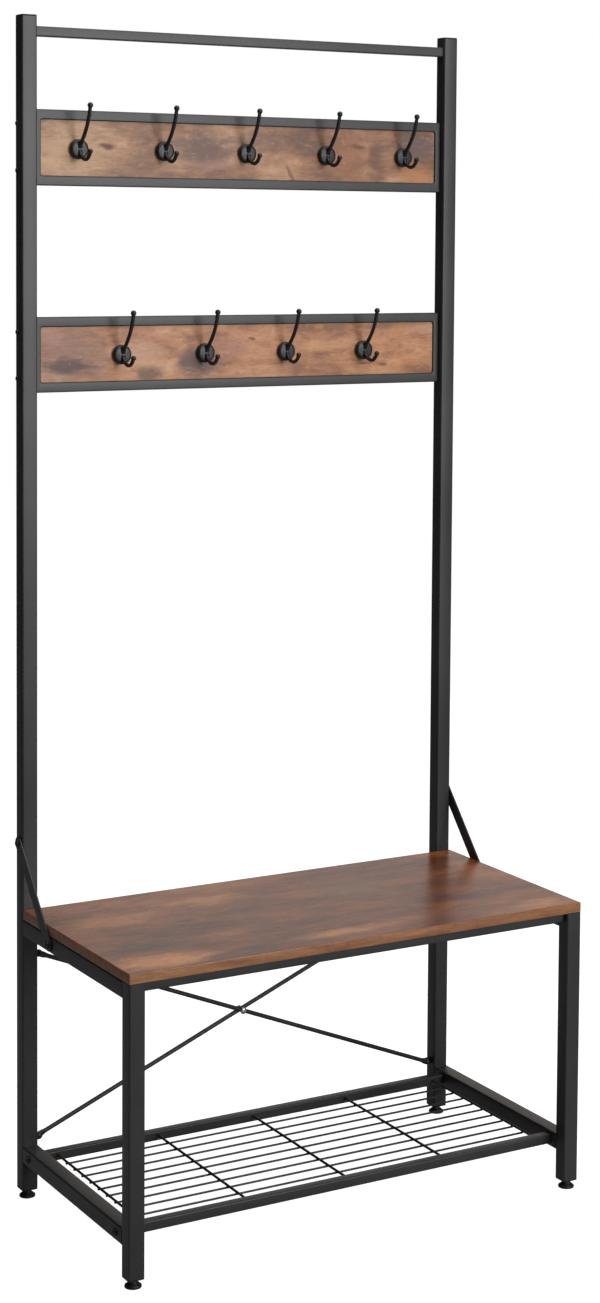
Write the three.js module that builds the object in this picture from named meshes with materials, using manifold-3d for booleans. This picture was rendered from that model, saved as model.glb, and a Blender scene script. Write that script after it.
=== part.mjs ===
// Hall tree: a bench with a wire shoe shelf in front of two tall posts, which carry a top rail and
// two framed hook boards. Square steel tube, flat and round bar, wood-faced boards.
// Millimetres, +Z up, front of the bench towards -Y, origin on the floor at the middle of the box.
import * as THREE from "three";
import { mergeVertices } from "three/addons/utils/BufferGeometryUtils.js";
import Module from "manifold-3d";

const wasm = await Module();
wasm.setup();

// ---- overall sizes
const WIDTH = 770;
const DEPTH = 400;
const HEIGHT = 1800;
const SEAT_TOP = 451;

// ---- clearances
const TOUCH = 0.3; // between two pieces that rest against each other
const BOLT_PLAY = 0.3; // radial, round every bolt shank
const BOARD_PLAY = 1; // seat board to the posts

// ---- square tube
const POST = 25; // outer side of posts, legs and side rails
const POST_WALL = 1.2;
const POST_CORNER = 2.5; // outer corner radius
const BAR = 15; // outer side of the cross rails and panel bars
const BAR_WALL = 1;
const BAR_CORNER = 1.8;
const CORNER_STEPS = 1; // fineness of the rounded corners

// ---- post ends
const CAP_FLANGE = 2;
const CAP_PLUG = 12; // length of a cap's plug inside the tube
const FOOT_DROP = 12.5; // floor to the underside of the leg insert
const INSERT_FLANGE = 1.5;
const INSERT_PLUG = 20;

// ---- levelling foot
const PAD_R = 12.5;
const PAD_RIM = 3;
const NECK_R = 6.5;
const STUD_R = 4;
const STUD_GRIP = 30; // stud length above the neck when screwed right in
const PAD_BEVEL = 0.8;
const PAD_SLOPE = 8; // height where the pad's slope meets the neck
const FOOT_SIDES = 12;

// ---- bench
const BOARD = 15; // seat board thickness
const FRONT_RAIL_SETBACK = 10; // front rail behind the legs' front faces
const REAR_RAIL_SETBACK = 10; // rear rail before the posts' front faces
const SEAT_ARRIS = 1.2; // bevel round the seat board's edges

// ---- shoe shelf
const SHELF_Z = 70; // mid-height of the shelf's side rails and cross rails
const SHELF_RAIL_INSET = 45; // cross rail centres behind the front and before the rear of the frame
const LONG_WIRE_R = 1.6;
const CROSS_WIRE_R = 2;
const LONG_WIRES = 9;
const LONG_EDGE = 39.8; // outermost long wire to the centre of the nearer cross rail
const CROSS_WIRES = 5;
const CROSS_EDGE = 21; // outermost cross wire to the side rail's inner face
const WELD_SINK = 0.5; // how far a cross wire is pressed into a long one
const WIRE_SIDES = 6;

// ---- back frame
const TOP_RAIL_DROP = 16.5; // post top to the top rail's upper face
const PANEL_TALL = 114;
const UPPER_PANEL_DROP = 196; // post top to the panel centres
const LOWER_PANEL_DROP = 507.5;
const PANEL_END = 10; // width of a panel frame's end bars
const PANEL_CORNER = 4; // inner corner radius of a panel frame
const PANEL_BOARD = 12; // board thickness
const PANEL_BOLT_INSET = 22; // bolt to the nearer edge of a panel

// ---- hooks
const HOOKS_UPPER = 5;
const HOOKS_LOWER = 4;
const HOOK_DISC_R = 15;
const HOOK_DISC = 8; // depth of the round base, board to front face
const HOOK_BEVEL = 2;
const HOOK_ROD_R = 2.9;
const HOOK_BALL_R = 4.4; // end of the arm
const HOOK_TIP_R = 3.9; // end of the prong
// Control points of the two bent rods, as [reach before the disc's face, height over its centre].
const HOOK_ARM = [[-2, 4], [12, 18], [30, 34], [36, 64.5]];
const HOOK_PRONG = [[-2, -3], [8, -19], [28, -21], [36, -4]];
const HOOK_DROP = 1.5; // hook centre below a panel's centre
const HOOK_SIDES = 8; // round a bent rod
const HOOK_STEPS = 8; // along a bent rod
const BALL_RINGS = 5;
const DISC_SIDES = 16;

// ---- rear X brace of round bar
const ROD_R = 3.5;
const ROD_LOW = 90; // height of the lower eyes
const ROD_DROP = 75; // upper eyes under the seat's top
const ROD_EYE_IN = 8; // eye centre inside the post's face
const ROD_EYE_R = 4.8;
const ROD_EYE = 4; // thickness of a flattened end
const ROD_FLAT = 9; // flattened end past the eye's centre
const ROD_PLANE = 10; // eye plane before the posts' rear faces
const LUG = 2.8; // lug plate thickness
const LUG_TALL = 11;
const LUG_LONG = 13;
const LUG_SINK = 0.6; // weld depth into the post's wall
const RIVET_R = 2;
const RIVET_HEAD_R = 5.5;
const RIVET_HEAD = 2.5;
const RIVET_TAIL = 2;
const RIVET_BEVEL = 1;

// ---- side braces of flat bar
const BRACE_WIDE = 20;
const BRACE_THICK = 2.5;
const BRACE_RISE = 100; // upper bolt above the seat's top
const BRACE_FOOT_Y = 100; // lower bolt before the posts' front faces

// ---- bolts
const BOLT_R = 3;
const HEAD_R = 5.5;
const HEAD = 3;
const HEAD_BEVEL = 1.5;
const SOCKET_R = 2;
const SOCKET_DEPTH = 1.2;
const SMALL_BOLT_R = 2.2;
const SMALL_HEAD_R = 4;
const SMALL_HEAD = 2.2;
const BOLT_END = 7; // shank past the last wall
const ROUND = 8; // sides of a small turned piece

// ---- places that follow from the sizes
const SIDE = WIDTH / 2;
const FRONT = -DEPTH / 2;
const REAR = DEPTH / 2;
const POST_X = SIDE - POST / 2;
const POST_Y = REAR - POST / 2;
const LEG_Y = FRONT + POST / 2;
const INNER_X = SIDE - POST; // inner faces of posts, legs and side rails
const POST_FRONT = REAR - POST;
const LEG_BACK = FRONT + POST;
const TUBE_FOOT = FOOT_DROP + INSERT_FLANGE + TOUCH;
const SEAT_UNDER = SEAT_TOP - BOARD;
const RAIL_TOP = SEAT_UNDER - TOUCH;
const SEAT_RAIL_Z = RAIL_TOP - POST / 2;
const INNER_SPAN = 2 * (INNER_X - TOUCH);
const BRACE_FOOT = POST_FRONT - BRACE_FOOT_Y;
const REAR_RAIL_Y = POST_FRONT - REAR_RAIL_SETBACK - BAR / 2;
const BRACE_TOP_Z = SEAT_TOP + BRACE_RISE;
const SHELF_RAIL_Y = REAR - SHELF_RAIL_INSET;
const ROD_HIGH = SEAT_TOP - ROD_DROP;
const UPPER_PANEL_Z = HEIGHT - UPPER_PANEL_DROP;
const LOWER_PANEL_Z = HEIGHT - LOWER_PANEL_DROP;
const SIDES = [["left", -1], ["right", 1]];

// ---- finishes
const steel = { color: 0x2e2e2f, roughness: 0.5, metalness: 0.35 };
const blackPlastic = { color: 0x141414, roughness: 0.6, metalness: 0 };
const hookBlack = { color: 0x121212, roughness: 0.35, metalness: 0.5 };
const zinc = { color: 0xb9bbbd, roughness: 0.3, metalness: 1 };
const wood = { color: 0x8f7360, roughness: 0.55, metalness: 0 };
const benchWood = { color: 0x7d695c, roughness: 0.35, metalness: 0 };

const hallTree = new THREE.Group();

// Adds one named piece.
function piece(name, geometry, finish) {
  const mesh = new THREE.Mesh(geometry, new THREE.MeshStandardMaterial(finish));
  mesh.name = name;
  hallTree.add(mesh);
  return mesh;
}

// ---- solids and booleans
function solid(geometry) {
  const bare = geometry.index ? geometry.toNonIndexed() : geometry.clone();
  bare.deleteAttribute("normal");
  bare.deleteAttribute("uv");
  const merged = mergeVertices(bare, 1e-4);
  const vertProperties = merged.attributes.position.array;
  const triVerts = new Uint32Array(merged.index.array);
  return new wasm.Manifold(new wasm.Mesh({ numProp: 3, vertProperties, triVerts }));
}

function geometryOf(body) {
  const mesh = body.getMesh();
  const geometry = new THREE.BufferGeometry();
  geometry.setAttribute("position", new THREE.BufferAttribute(mesh.vertProperties, 3));
  geometry.setIndex(new THREE.BufferAttribute(mesh.triVerts, 1));
  return geometry;
}

const joined = (first, ...rest) =>
  geometryOf(rest.reduce((body, part) => body.add(solid(part)), solid(first)));
const drilled = (stock, ...drills) =>
  geometryOf(drills.reduce((body, drill) => body.subtract(solid(drill)), solid(stock)));

// ---- basic shapes
// A rectangle with rounded corners, centred on the origin.
function roundedRect(outline, wide, tall, radius) {
  const x = wide / 2 - radius;
  const y = tall / 2 - radius;
  [[x, y], [-x, y], [-x, -y], [x, -y]].forEach(([cx, cy], quarter) => {
    outline.absarc(cx, cy, radius, (quarter * Math.PI) / 2, ((quarter + 1) * Math.PI) / 2);
  });
  return outline;
}

// A square tube of the given length along Z, centred, open at both ends.
function tube(length, side, wall, corner) {
  const section = roundedRect(new THREE.Shape(), side, side, corner);
  section.holes.push(roundedRect(new THREE.Path(), side - 2 * wall, side - 2 * wall, corner - wall));
  const options = { depth: length, bevelEnabled: false, curveSegments: CORNER_STEPS };
  return new THREE.ExtrudeGeometry(section, options).translate(0, 0, -length / 2);
}
const alongX = (geometry) => geometry.rotateY(Math.PI / 2);
const alongY = (geometry) => geometry.rotateX(Math.PI / 2);
const postTube = (length) => tube(length, POST, POST_WALL, POST_CORNER);
const barTube = (length) => tube(length, BAR, BAR_WALL, BAR_CORNER);

// A round bar of the given length along X, centred.
function pin(radius, length, sides = ROUND) {
  return new THREE.CylinderGeometry(radius, radius, length, sides).rotateZ(Math.PI / 2);
}

// A turned piece about Z from [radius, height] pairs, which run upwards on the outside.
function turned(profile, sides = ROUND) {
  const points = profile.map(([radius, height]) => new THREE.Vector2(radius, height));
  return new THREE.LatheGeometry(points, sides).rotateX(Math.PI / 2);
}

function box(low, high) {
  const size = high.map((value, axis) => value - low[axis]);
  const middle = high.map((value, axis) => (value + low[axis]) / 2);
  return new THREE.BoxGeometry(...size).translate(...middle);
}

// A plug for the open end of a post: a flange as wide as the tube and a block inside it.
// Its flange's outer face is at height 0, and the plug stands up from it.
function endPlug(flange, plug) {
  const options = { bevelEnabled: false, curveSegments: CORNER_STEPS };
  const face = roundedRect(new THREE.Shape(), POST, POST, POST_CORNER);
  const inside = POST - 2 * (POST_WALL + TOUCH);
  const core = roundedRect(new THREE.Shape(), inside, inside, POST_CORNER - POST_WALL);
  return joined(
    new THREE.ExtrudeGeometry(face, { ...options, depth: flange }),
    new THREE.ExtrudeGeometry(core, { ...options, depth: flange + plug }),
  );
}

// A button-head bolt along +X: head before the origin, shank after it, socket in the head.
function bolt(shank, shankR, headR, head) {
  return turned([
    [0, SOCKET_DEPTH - head],
    [SOCKET_R, SOCKET_DEPTH - head],
    [SOCKET_R, -head],
    [headR - HEAD_BEVEL, -head],
    [headR, -head / 2],
    [headR, 0],
    [shankR, 0],
    [shankR, shank],
    [0, shank],
  ]).rotateY(Math.PI / 2);
}

// ---- posts, legs, caps and feet
// The wall holes of a post: one for the brace and two into each end of both hook panels.
const panelBolts = [["upper", UPPER_PANEL_Z], ["lower", LOWER_PANEL_Z]].flatMap(([panel, z]) => [
  [panel, "top", z + PANEL_TALL / 2 - PANEL_BOLT_INSET],
  [panel, "bottom", z - PANEL_TALL / 2 + PANEL_BOLT_INSET],
]);
const PANEL_Y = REAR - BAR / 2;
const LUG_Y = REAR - ROD_PLANE;

for (const [side, sign] of SIDES) {
  const top = HEIGHT - CAP_FLANGE - TOUCH;
  const stock = postTube(top - TUBE_FOOT).translate(sign * POST_X, POST_Y, (top + TUBE_FOOT) / 2);
  const lugs = [ROD_LOW, ROD_HIGH].map((z) => {
    const xs = [sign * (INNER_X - LUG_LONG), sign * (INNER_X + LUG_SINK)].sort((a, b) => a - b);
    return box([xs[0], LUG_Y - LUG / 2, z - LUG_TALL / 2], [xs[1], LUG_Y + LUG / 2, z + LUG_TALL / 2]);
  });
  const lugHoles = [ROD_LOW, ROD_HIGH].map((z) =>
    pin(RIVET_R + BOLT_PLAY, BAR).rotateZ(Math.PI / 2)
      .translate(sign * (INNER_X - ROD_EYE_IN), LUG_Y, z));
  const braceHole = pin(BOLT_R + BOLT_PLAY, POST).translate(sign * SIDE, POST_Y, BRACE_TOP_Z);
  const panelHoles = panelBolts.map(([, , z]) =>
    pin(SMALL_BOLT_R + BOLT_PLAY, 2 * POST).translate(sign * POST_X, PANEL_Y, z));
  piece(`${side}_rear_post`, drilled(joined(stock, ...lugs), ...lugHoles, braceHole, ...panelHoles), steel);

  const cap = piece(`${side}_post_cap`, endPlug(CAP_FLANGE, CAP_PLUG), blackPlastic);
  cap.position.set(sign * POST_X, POST_Y, HEIGHT);
  cap.rotation.x = Math.PI;

  const leg = piece(`${side}_front_leg`, postTube(RAIL_TOP - TUBE_FOOT), steel);
  leg.position.set(sign * POST_X, LEG_Y, (RAIL_TOP + TUBE_FOOT) / 2);

  for (const [end, y] of [["front", LEG_Y], ["rear", POST_Y]]) {
    const hole = turned([[0, -TOUCH], [STUD_R + BOLT_PLAY, -TOUCH], [STUD_R + BOLT_PLAY, STUD_GRIP],
      [0, STUD_GRIP]], FOOT_SIDES);
    const insert = piece(`${side}_${end}_insert`, drilled(endPlug(INSERT_FLANGE, INSERT_PLUG), hole),
      blackPlastic);
    insert.position.set(sign * POST_X, y, FOOT_DROP);
    const foot = turned([
      [0, 0],
      [PAD_R - PAD_BEVEL, 0],
      [PAD_R, PAD_BEVEL],
      [PAD_R, PAD_RIM],
      [NECK_R, PAD_SLOPE],
      [NECK_R, FOOT_DROP - TOUCH],
      [STUD_R, FOOT_DROP - TOUCH],
      [STUD_R, FOOT_DROP + STUD_GRIP],
      [0, FOOT_DROP + STUD_GRIP],
    ], FOOT_SIDES);
    piece(`${side}_${end}_foot`, foot, blackPlastic).position.set(sign * POST_X, y, 0);
  }
}

// ---- bench: side rails, front and rear rails, board
const SIDE_RAIL = POST_FRONT - LEG_BACK - 2 * TOUCH;
for (const [side, sign] of SIDES) {
  const hole = pin(BOLT_R + BOLT_PLAY, POST).translate(sign * POST / 2, BRACE_FOOT, 0);
  const rail = piece(`seat_${side}_rail`, drilled(alongY(postTube(SIDE_RAIL)), hole), steel);
  rail.position.set(sign * POST_X, 0, SEAT_RAIL_Z);
}
const FRONT_RAIL_Y = FRONT + FRONT_RAIL_SETBACK + BAR / 2;
for (const [end, y] of [["front", FRONT_RAIL_Y], ["rear", REAR_RAIL_Y]]) {
  const rail = piece(`seat_${end}_rail`, alongX(barTube(INNER_SPAN)), steel);
  rail.position.set(0, y, RAIL_TOP - BAR / 2);
}

const boardBack = POST_FRONT - BOARD_PLAY;
const boardFace = new THREE.Shape([
  new THREE.Vector2(-SIDE + SEAT_ARRIS, FRONT + SEAT_ARRIS),
  new THREE.Vector2(SIDE - SEAT_ARRIS, FRONT + SEAT_ARRIS),
  new THREE.Vector2(SIDE - SEAT_ARRIS, boardBack - SEAT_ARRIS),
  new THREE.Vector2(-SIDE + SEAT_ARRIS, boardBack - SEAT_ARRIS),
]);
const bevelledBoard = new THREE.ExtrudeGeometry(boardFace, {
  depth: BOARD - 2 * SEAT_ARRIS,
  bevelThickness: SEAT_ARRIS,
  bevelSize: SEAT_ARRIS,
  bevelSegments: 1,
});
piece("seat_board", bevelledBoard, benchWood).position.z = SEAT_UNDER + SEAT_ARRIS;

// ---- side braces: flat bars bolted to the outer faces of post and seat rail
const braceRun = Math.hypot(POST_Y - BRACE_FOOT, BRACE_TOP_Z - SEAT_RAIL_Z);
const braceTilt = Math.atan2(BRACE_TOP_Z - SEAT_RAIL_Z, POST_Y - BRACE_FOOT);
// Turns a flat shape from the XY plane into the YZ plane, so that its thickness runs along +X.
const toSidePlane = new THREE.Matrix4().makeBasis(
  new THREE.Vector3(0, 1, 0), new THREE.Vector3(0, 0, 1), new THREE.Vector3(1, 0, 0));

// A flat bar of the given width with round ends, its two eyes a span apart, centred on XY.
function strap(span, width, thick, holeR) {
  const outline = new THREE.Shape();
  outline.absarc(span / 2, 0, width / 2, -Math.PI / 2, Math.PI / 2);
  outline.absarc(-span / 2, 0, width / 2, Math.PI / 2, (3 * Math.PI) / 2);
  for (const x of [-span / 2, span / 2]) {
    outline.holes.push(new THREE.Path().absarc(x, 0, holeR, 0, 2 * Math.PI));
  }
  const options = { depth: thick, bevelEnabled: false, curveSegments: ROUND / 2 };
  return new THREE.ExtrudeGeometry(outline, options).translate(0, 0, -thick / 2);
}

for (const [side, sign] of SIDES) {
  const bar = strap(braceRun, BRACE_WIDE, BRACE_THICK, BOLT_R + BOLT_PLAY).rotateZ(braceTilt);
  const brace = piece(`${side}_brace`, bar.applyMatrix4(toSidePlane), steel);
  const middleY = (POST_Y + BRACE_FOOT) / 2;
  const middleZ = (BRACE_TOP_Z + SEAT_RAIL_Z) / 2;
  brace.position.set(sign * (SIDE + TOUCH + BRACE_THICK / 2), middleY, middleZ);
  const shank = 2 * TOUCH + BRACE_THICK + POST_WALL + BOLT_END;
  for (const [end, y, z] of [["upper", POST_Y, BRACE_TOP_Z], ["lower", BRACE_FOOT, SEAT_RAIL_Z]]) {
    const screw = piece(`${side}_brace_${end}_bolt`, bolt(shank, BOLT_R, HEAD_R, HEAD), steel);
    screw.position.set(sign * (SIDE + 2 * TOUCH + BRACE_THICK), y, z);
    screw.rotation.z = sign > 0 ? Math.PI : 0;
  }
}

// ---- shoe shelf: side rails, cross rails, their bolts and the welded wire grid
for (const [side, sign] of SIDES) {
  const holes = [-SHELF_RAIL_Y, SHELF_RAIL_Y].map((y) =>
    pin(BOLT_R + BOLT_PLAY, 2 * POST).translate(0, y, 0));
  const rail = piece(`shelf_${side}_rail`, drilled(alongY(postTube(SIDE_RAIL)), ...holes), steel);
  rail.position.set(sign * POST_X, 0, SHELF_Z);
  for (const [end, y] of [["front", -SHELF_RAIL_Y], ["rear", SHELF_RAIL_Y]]) {
    const shank = 2 * TOUCH + POST + BOLT_END;
    const screw = piece(`shelf_${side}_${end}_bolt`, bolt(shank, BOLT_R, HEAD_R, HEAD), steel);
    screw.position.set(sign * (SIDE + TOUCH), y, SHELF_Z);
    screw.rotation.z = sign > 0 ? Math.PI : 0;
  }
}
for (const [end, y] of [["front", -SHELF_RAIL_Y], ["rear", SHELF_RAIL_Y]]) {
  piece(`shelf_${end}_rail`, alongX(barTube(INNER_SPAN)), steel).position.set(0, y, SHELF_Z);
}

const crossX = (index) => (INNER_X - CROSS_EDGE) * ((2 * index) / (CROSS_WIRES - 1) - 1);
const longY = (index) => (SHELF_RAIL_Y - LONG_EDGE) * ((2 * index) / (LONG_WIRES - 1) - 1);
const longWire = 2 * (crossX(CROSS_WIRES - 1) + CROSS_WIRE_R);
const crossWire = 2 * (SHELF_RAIL_Y - BAR / 2 - TOUCH);
const wireRise = (LONG_WIRE_R + CROSS_WIRE_R - WELD_SINK) / 2;
const wires = [
  ...Array.from({ length: LONG_WIRES }, (_, index) =>
    pin(LONG_WIRE_R, longWire, WIRE_SIDES).translate(0, longY(index), -wireRise)),
  ...Array.from({ length: CROSS_WIRES }, (_, index) =>
    pin(CROSS_WIRE_R, crossWire, WIRE_SIDES).rotateZ(Math.PI / 2).translate(crossX(index), 0, wireRise)),
];
piece("shelf_wire_grid", joined(...wires), steel).position.z = SHELF_Z;

// ---- rear X brace: two round bars with flattened ends, riveted where they cross
const eyeX = INNER_X - ROD_EYE_IN;
const rodSpan = Math.hypot(2 * eyeX, ROD_HIGH - ROD_LOW);
const rodTilt = Math.atan2(ROD_HIGH - ROD_LOW, 2 * eyeX);
const rodOffset = LUG / 2 + TOUCH + ROD_EYE / 2;
const rodMiddle = (ROD_LOW + ROD_HIGH) / 2;
for (const [name, sign] of [["front_cross_rod", -1], ["rear_cross_rod", 1]]) {
  const flats = [-1, 1].map((end) =>
    alongY(strap(ROD_FLAT, 2 * ROD_EYE_R, ROD_EYE, RIVET_R + BOLT_PLAY))
      .translate(end * (rodSpan - ROD_FLAT) / 2, 0, 0));
  const middle = alongY(new THREE.CylinderGeometry(ROD_EYE_R, ROD_EYE_R, 2 * ROD_R - 2 * TOUCH, ROUND)
    .rotateX(Math.PI / 2));
  const hole = pin(RIVET_R + BOLT_PLAY, BAR).rotateZ(Math.PI / 2);
  const stock = joined(pin(ROD_R, rodSpan - 2 * ROD_FLAT, HOOK_SIDES), ...flats, middle);
  const rod = piece(name, drilled(stock, hole), steel);
  rod.position.set(0, LUG_Y + sign * rodOffset, rodMiddle);
  rod.rotation.y = -sign * rodTilt;
}
const rivetFront = rodOffset + ROD_R + TOUCH;
const rivet = turned([
  [0, -rivetFront - RIVET_HEAD],
  [RIVET_HEAD_R - RIVET_BEVEL, -rivetFront - RIVET_HEAD],
  [RIVET_HEAD_R, -rivetFront - RIVET_HEAD / 2],
  [RIVET_HEAD_R, -rivetFront],
  [RIVET_R, -rivetFront],
  [RIVET_R, rivetFront],
  [RIVET_HEAD_R - RIVET_BEVEL, rivetFront],
  [RIVET_HEAD_R - RIVET_BEVEL, rivetFront + RIVET_TAIL],
  [0, rivetFront + RIVET_TAIL],
]).rotateX(-Math.PI / 2);
piece("cross_rod_rivet", rivet, zinc).position.set(0, LUG_Y, rodMiddle);

// ---- top rail
piece("top_rail", alongX(barTube(INNER_SPAN)), steel)
  .position.set(0, POST_Y, HEIGHT - TOP_RAIL_DROP - BAR / 2);

// ---- hook panels: a welded frame of square tube, a board let into its back, and its bolts
const boardWide = INNER_SPAN - 2 * PANEL_END;
const boardTall = PANEL_TALL - 2 * BAR;

// A flat ring along -Y from its back at y = 0: outer and inner rounded rectangles.
function ring(outer, inner, thick) {
  const face = roundedRect(new THREE.Shape(), ...outer);
  face.holes.push(roundedRect(new THREE.Path(), ...inner));
  const options = { depth: thick, bevelEnabled: false, curveSegments: CORNER_STEPS };
  return new THREE.ExtrudeGeometry(face, options).rotateX(Math.PI / 2);
}

for (const [panel, z] of [["upper", UPPER_PANEL_Z], ["lower", LOWER_PANEL_Z]]) {
  const wall = 2 * BAR_WALL;
  const shell = ring([INNER_SPAN, PANEL_TALL, BAR_CORNER], [boardWide, boardTall, PANEL_CORNER], BAR);
  const core = ring([INNER_SPAN - wall, PANEL_TALL - wall, BAR_CORNER - BAR_WALL],
    [boardWide + wall, boardTall + wall, PANEL_CORNER + BAR_WALL], BAR - wall).translate(0, -BAR_WALL, 0);
  const holes = SIDES.flatMap(([, sign]) => [-1, 1].map((end) =>
    pin(SMALL_BOLT_R + BOLT_PLAY, PANEL_END)
      .translate((sign * INNER_SPAN) / 2, -BAR / 2, end * (PANEL_TALL / 2 - PANEL_BOLT_INSET))));
  piece(`${panel}_panel_frame`, drilled(shell, core, ...holes), steel).position.set(0, REAR, z);

  const face = roundedRect(new THREE.Shape(), boardWide - 2 * TOUCH, boardTall - 2 * TOUCH,
    PANEL_CORNER);
  const options = { depth: PANEL_BOARD, bevelEnabled: false, curveSegments: CORNER_STEPS };
  const board = new THREE.ExtrudeGeometry(face, options).rotateX(Math.PI / 2);
  piece(`${panel}_board`, board, wood).position.set(0, REAR, z);
}

for (const [side, sign] of SIDES) {
  for (const [panel, end, z] of panelBolts) {
    const shank = 2 * TOUCH + POST + PANEL_END / 2;
    const screw = piece(`${side}_${panel}_panel_${end}_bolt`,
      bolt(shank, SMALL_BOLT_R, SMALL_HEAD_R, SMALL_HEAD), steel);
    screw.position.set(sign * (SIDE + TOUCH), PANEL_Y, z);
    screw.rotation.z = sign > 0 ? Math.PI : 0;
  }
}

// ---- double hooks: a disc, a long arm that rises to a ball, and a short prong below
// A round rod along a cubic curve in the YZ plane, with a ball on its far end.
function bentRod(points, ballR) {
  const path = new THREE.CubicBezierCurve3(
    ...points.map(([reach, rise]) => new THREE.Vector3(0, -reach, rise)));
  const section = new THREE.Shape().absarc(0, 0, HOOK_ROD_R, 0, 2 * Math.PI);
  const options = { steps: HOOK_STEPS, curveSegments: HOOK_SIDES / 2, extrudePath: path };
  const [reach, rise] = points[points.length - 1];
  const ball = new THREE.SphereGeometry(ballR, HOOK_SIDES, BALL_RINGS).rotateX(Math.PI / 2)
    .translate(0, -reach, rise);
  return [new THREE.ExtrudeGeometry(section, options), ball];
}

const disc = turned([
  [0, 0],
  [HOOK_DISC_R, 0],
  [HOOK_DISC_R, HOOK_DISC - HOOK_BEVEL],
  [HOOK_DISC_R - HOOK_BEVEL, HOOK_DISC],
  [0, HOOK_DISC],
], DISC_SIDES).rotateX(Math.PI / 2).translate(0, HOOK_DISC, 0);
const hookShape = joined(disc, ...bentRod(HOOK_ARM, HOOK_BALL_R), ...bentRod(HOOK_PRONG, HOOK_TIP_R));
const hookPitch = (2 * INNER_X) / HOOKS_UPPER;
const discFace = REAR - PANEL_BOARD - TOUCH - HOOK_DISC;
for (const [panel, count, z] of [
  ["upper", HOOKS_UPPER, UPPER_PANEL_Z],
  ["lower", HOOKS_LOWER, LOWER_PANEL_Z],
]) {
  for (let index = 0; index < count; index += 1) {
    const hook = piece(`${panel}_hook_${index + 1}`, hookShape, hookBlack);
    hook.position.set((index - (count - 1) / 2) * hookPitch, discFace, z - HOOK_DROP);
  }
}

export default hallTree;
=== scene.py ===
# %% [markdown]
# # A hall tree of square tube, wire and rustic boards
# The object is a bench with a wire shoe shelf, and two tall posts with a top rail and two hook boards.
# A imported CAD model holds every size. It is loaded as a fixed frame, and each piece of it is then given
# a fine surface and a finish. All lengths in this file are metres, and MM turns millimetres into them.

# %% The frame, its box and the unit
import math

import bmesh
import bpy
import numpy as np
from mathutils import Matrix, Vector


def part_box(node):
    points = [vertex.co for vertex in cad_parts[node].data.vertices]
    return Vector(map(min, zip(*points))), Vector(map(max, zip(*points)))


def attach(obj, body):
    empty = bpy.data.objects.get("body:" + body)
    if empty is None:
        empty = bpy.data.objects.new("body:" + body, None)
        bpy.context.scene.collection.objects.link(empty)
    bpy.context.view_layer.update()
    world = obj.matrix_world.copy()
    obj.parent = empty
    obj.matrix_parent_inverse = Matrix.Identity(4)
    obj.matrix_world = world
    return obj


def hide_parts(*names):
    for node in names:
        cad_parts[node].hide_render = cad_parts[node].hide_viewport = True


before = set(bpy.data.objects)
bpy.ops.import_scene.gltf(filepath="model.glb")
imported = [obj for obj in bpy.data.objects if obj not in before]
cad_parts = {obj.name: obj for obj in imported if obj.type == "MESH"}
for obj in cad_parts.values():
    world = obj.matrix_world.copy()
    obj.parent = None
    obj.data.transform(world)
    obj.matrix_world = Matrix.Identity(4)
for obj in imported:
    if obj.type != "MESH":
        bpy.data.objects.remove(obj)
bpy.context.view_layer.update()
MM = 0.001
SIDES = (("left", -1), ("right", 1))
ENDS = ("front", "rear")

# %% [markdown]
# ## Surfaces from grids
# Nearly every piece here is a section carried along a line: a tube, a turned foot, a bent rod. Each could
# be drawn by hand or cut by booleans, but a grid of points is exact, quick and easy to read: one index
# walks along the piece, the other goes round it. The helpers below turn such grids into closed meshes.


# %% Grid helpers
def grid_part(points, wrap_along=False):
    """A closed sheet over a grid of points[along, round]: quads between neighbours, closed round the
    section, and either closed along too or capped with one flat face at each end."""
    along, around = points.shape[:2]
    rows = np.arange(along if wrap_along else along - 1)[:, None]
    turns = np.arange(around)[None, :]
    next_row = (rows + 1) % along
    next_turn = (turns + 1) % around
    corners = (rows * around + turns, next_row * around + turns,
               next_row * around + next_turn, rows * around + next_turn)
    faces = np.stack(np.broadcast_arrays(*corners), -1).reshape(-1, 4).tolist()
    if not wrap_along:
        faces.append(list(range(around))[::-1])
        faces.append(list(range((along - 1) * around, along * around)))
    flat = points.reshape(-1, 3)
    return flat, outward(flat, faces)


def outward(points, faces):
    """Turns all faces round if the volume they enclose comes out negative: a sixth of the sum of
    a . (b x c) over the triangles of each face."""
    volume = 0.0
    by_size = {}
    for face in faces:
        by_size.setdefault(len(face), []).append(face)
    for size, group in by_size.items():
        index = np.array(group)
        a = points[index[:, 0]]
        for k in range(1, size - 1):
            volume += np.einsum("ij,ij->", a, np.cross(points[index[:, k]], points[index[:, k + 1]]))
    return faces if volume > 0 else [face[::-1] for face in faces]


square = [(1, 1), (-1, 1), (-1, -1), (1, -1)]
box_grid = np.array([[(x, y, z) for x, y in square] for z in (0, 1)], float)
print("a box from a grid of 2 by 4 points has", len(grid_part(box_grid)[1]), "faces")

# %% From grids to pieces
SHARP_CORNER = math.radians(38)
MERGE = 0.001 * MM
piece_sizes = {}


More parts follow.
